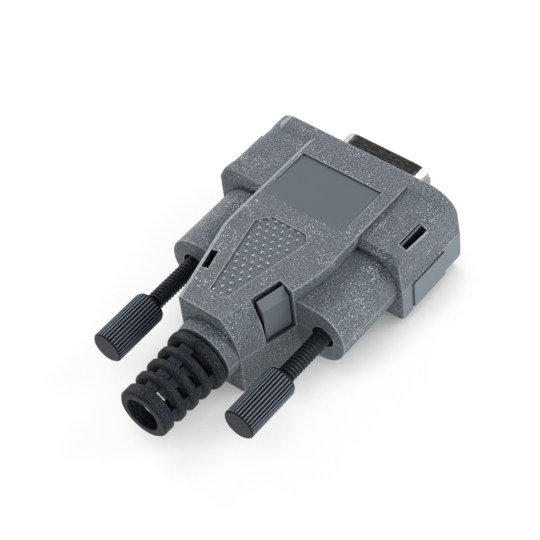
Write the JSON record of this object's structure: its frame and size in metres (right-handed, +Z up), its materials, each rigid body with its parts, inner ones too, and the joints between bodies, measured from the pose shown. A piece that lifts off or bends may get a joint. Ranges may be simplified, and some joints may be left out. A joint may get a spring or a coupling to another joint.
{
  "type": "d-sub connector hood",
  "caption": "Two-part snap-together plastic hood round a small D-shaped socket connector, with captive ribbed thumbscrews, an inner cable clamp and a slotted strain-relief boot.",
  "frame": {"origin": "centre of the bounding box, at the level of the flat underside", "axes": "+X across the two thumbscrews, +Y out of the boot towards the mating face, +Z up through the labelled half"},
  "size_m": [0.0354, 0.0596, 0.0152],
  "materials": {
    "hood_plastic": "fine spark texture",
    "boot_plastic": "satin",
    "knob_plastic": "satin",
    "black_steel": "blackened",
    "spring_steel": "plain",
    "shell_nickel": "nickel plate",
    "insulator_plastic": "satin",
    "clamp_steel": "zinc plate",
    "contact_brass": "gold plate"
  },
  "bodies": {
    "hood": {"upper_shell": "hood_plastic", "lower_shell": "hood_plastic", "boot": "boot_plastic", "front_shell": "shell_nickel", "rear_shell": "shell_nickel", "insulator": "insulator_plastic", "left_eyelet": "clamp_steel", "right_eyelet": "clamp_steel", "upper_clamp": "clamp_steel", "lower_clamp": "clamp_steel", "left_clamp_screw": "clamp_steel", "right_clamp_screw": "clamp_steel", "contact_1": "contact_brass", "contact_2": "contact_brass", "contact_3": "contact_brass", "contact_4": "contact_brass", "contact_5": "contact_brass", "contact_6": "contact_brass", "contact_7": "contact_brass", "contact_8": "contact_brass", "contact_9": "contact_brass"},
    "left_ring_body": {"left_ring": "spring_steel"},
    "left_thumbscrew": {"left_screw": "black_steel", "left_knob": "knob_plastic"},
    "right_ring_body": {"right_ring": "spring_steel"},
    "right_thumbscrew": {"right_screw": "black_steel", "right_knob": "knob_plastic"}
  },
  "joints": [
    {"name": "left_slide", "type": "slide", "parent": "hood", "child": "left_ring_body", "axis": [0, 1, 0], "range_m": [-0.00008, 0.00975]},
    {"name": "left_spin", "type": "hinge", "parent": "left_ring_body", "child": "left_thumbscrew", "pos_m": [-0.01249, -0.0021, 0.0076], "axis": [0, 1, 0], "continuous": true},
    {"name": "right_slide", "type": "slide", "parent": "hood", "child": "right_ring_body", "axis": [0, 1, 0], "range_m": [-0.00048, 0.00935]},
    {"name": "right_spin", "type": "hinge", "parent": "right_ring_body", "child": "right_thumbscrew", "pos_m": [0.01249, -0.0017, 0.0076], "axis": [0, 1, 0], "continuous": true}
  ]
}
